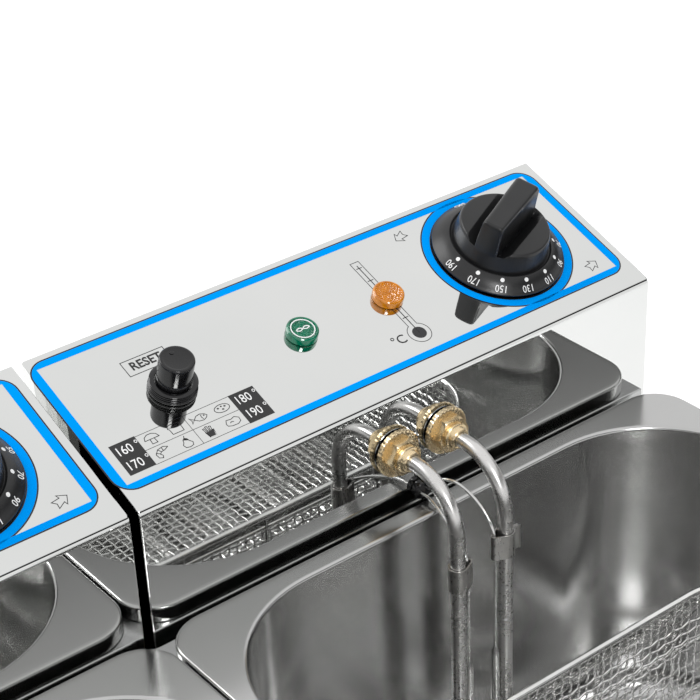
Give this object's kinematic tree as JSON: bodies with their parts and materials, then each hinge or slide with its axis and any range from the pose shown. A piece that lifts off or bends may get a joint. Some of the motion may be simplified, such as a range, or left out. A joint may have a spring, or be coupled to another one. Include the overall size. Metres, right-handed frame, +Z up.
{
  "type": "twin deep fryer",
  "caption": "Countertop electric deep fryer: steel body, lift-out tanks with wide flanges, sloping mirror control heads with dial, lamps and reset, tube elements and wire baskets.",
  "frame": {"origin": "on the table, under the middle of the outer box", "axes": "+X to the right seen from the front, +Y to the rear, +Z up"},
  "size_m": [0.55, 0.55, 0.2834],
  "materials": {
    "body_sheet": "brushed stainless sheet",
    "tank_sheet": "satin drawn stainless",
    "polished_sheet": "mirror-polished stainless",
    "element_tube": "drawn tube, lightly brushed",
    "strap_steel": "thin strip",
    "steel_wire": "bright wire",
    "brass_fitting": "turned brass",
    "black_plastic": "moulded phenolic with a fine grain",
    "black_rubber": "smooth moulded rubber",
    "foot_rubber": "moulded rubber",
    "green_lens": "clear green lens with a prism texture",
    "amber_lens": "clear amber lens with a prism texture",
    "white_plastic": "electrical moulding"
  },
  "bodies": {
    "body": {"body_shell": "body_sheet", "base_plate": "body_sheet", "foot_front_left": "foot_rubber", "foot_front_right": "foot_rubber", "foot_rear_left": "foot_rubber", "foot_rear_right": "foot_rubber"},
    "tank_left": {"tank_left": "tank_sheet"},
    "head_left": {"head_case_left": "polished_sheet", "head_base_left": "body_sheet", "head_rear_cover_left": "body_sheet", "thermostat_left": "white_plastic", "reset_collar_left": "black_rubber", "limiter_left": "white_plastic", "lamp_green_left": "green_lens", "lamp_amber_left": "amber_lens", "element_left": "element_tube", "fitting_a_left": "brass_fitting", "fitting_b_left": "brass_fitting", "washer_a_left": "black_rubber", "washer_b_left": "black_rubber", "thermostat_sensor_left": "steel_wire", "limiter_sensor_left": "steel_wire", "clip_a_left": "strap_steel", "clip_b_left": "strap_steel", "sensor_grommet_left": "black_rubber", "cable_gland_left": "black_plastic", "terminal_block_left": "white_plastic", "microswitch_left": "black_plastic"},
    "dial_left": {"dial_left": "black_plastic"},
    "reset_left": {"reset_cap_left": "black_rubber"},
    "basket_left": {"basket_left": "steel_wire", "basket_handle_left": "steel_wire", "basket_grip_left": "black_plastic"},
    "tank_right": {"tank_right": "tank_sheet"},
    "head_right": {"head_case_right": "polished_sheet", "head_base_right": "body_sheet", "head_rear_cover_right": "body_sheet", "thermostat_right": "white_plastic", "reset_collar_right": "black_rubber", "limiter_right": "white_plastic", "lamp_green_right": "green_lens", "lamp_amber_right": "amber_lens", "element_right": "element_tube", "fitting_a_right": "brass_fitting", "fitting_b_right": "brass_fitting", "washer_a_right": "black_rubber", "washer_b_right": "black_rubber", "thermostat_sensor_right": "steel_wire", "limiter_sensor_right": "steel_wire", "clip_a_right": "strap_steel", "clip_b_right": "strap_steel", "sensor_grommet_right": "black_rubber", "cable_gland_right": "black_plastic", "terminal_block_right": "white_plastic", "microswitch_right": "black_plastic"},
    "dial_right": {"dial_right": "black_plastic"},
    "reset_right": {"reset_cap_right": "black_rubber"},
    "basket_right": {"basket_right": "steel_wire", "basket_handle_right": "steel_wire", "basket_grip_right": "black_plastic"}
  },
  "joints": [
    {"name": "tank_lift_left", "type": "slide", "parent": "body", "child": "tank_left", "axis": [0, 0, 1], "range_m": [0, 0.16]},
    {"name": "head_lift_left", "type": "slide", "parent": "tank_left", "child": "head_left", "axis": [0, 0, 1], "range_m": [0, 0.15]},
    {"name": "basket_lift_left", "type": "slide", "parent": "head_left", "child": "basket_left", "axis": [0, 0, 1], "range_m": [0, 0.145]},
    {"name": "dial_turn_left", "type": "hinge", "parent": "head_left", "child": "dial_left", "pos_m": [-0.0537, 0.22352, 0.2511], "axis": [0, -0.3469, 0.9379], "range_deg": [0, 270]},
    {"name": "reset_press_left", "type": "slide", "parent": "head_left", "child": "reset_left", "axis": [0, 0.3469, -0.9379], "range_m": [0, 0.0022], "stiffness_N_per_m": 800, "springref_m": -0.002},
    {"name": "tank_lift_right", "type": "slide", "parent": "body", "child": "tank_right", "axis": [0, 0, 1], "range_m": [0, 0.16]},
    {"name": "head_lift_right", "type": "slide", "parent": "tank_right", "child": "head_right", "axis": [0, 0, 1], "range_m": [0, 0.15]},
    {"name": "basket_lift_right", "type": "slide", "parent": "head_right", "child": "basket_right", "axis": [0, 0, 1], "range_m": [0, 0.145]},
    {"name": "dial_turn_right", "type": "hinge", "parent": "head_right", "child": "dial_right", "pos_m": [0.2203, 0.22352, 0.2511], "axis": [0, -0.3469, 0.9379], "range_deg": [0, 270]},
    {"name": "reset_press_right", "type": "slide", "parent": "head_right", "child": "reset_right", "axis": [0, 0.3469, -0.9379], "range_m": [0, 0.0022], "stiffness_N_per_m": 800, "springref_m": -0.002}
  ]
}
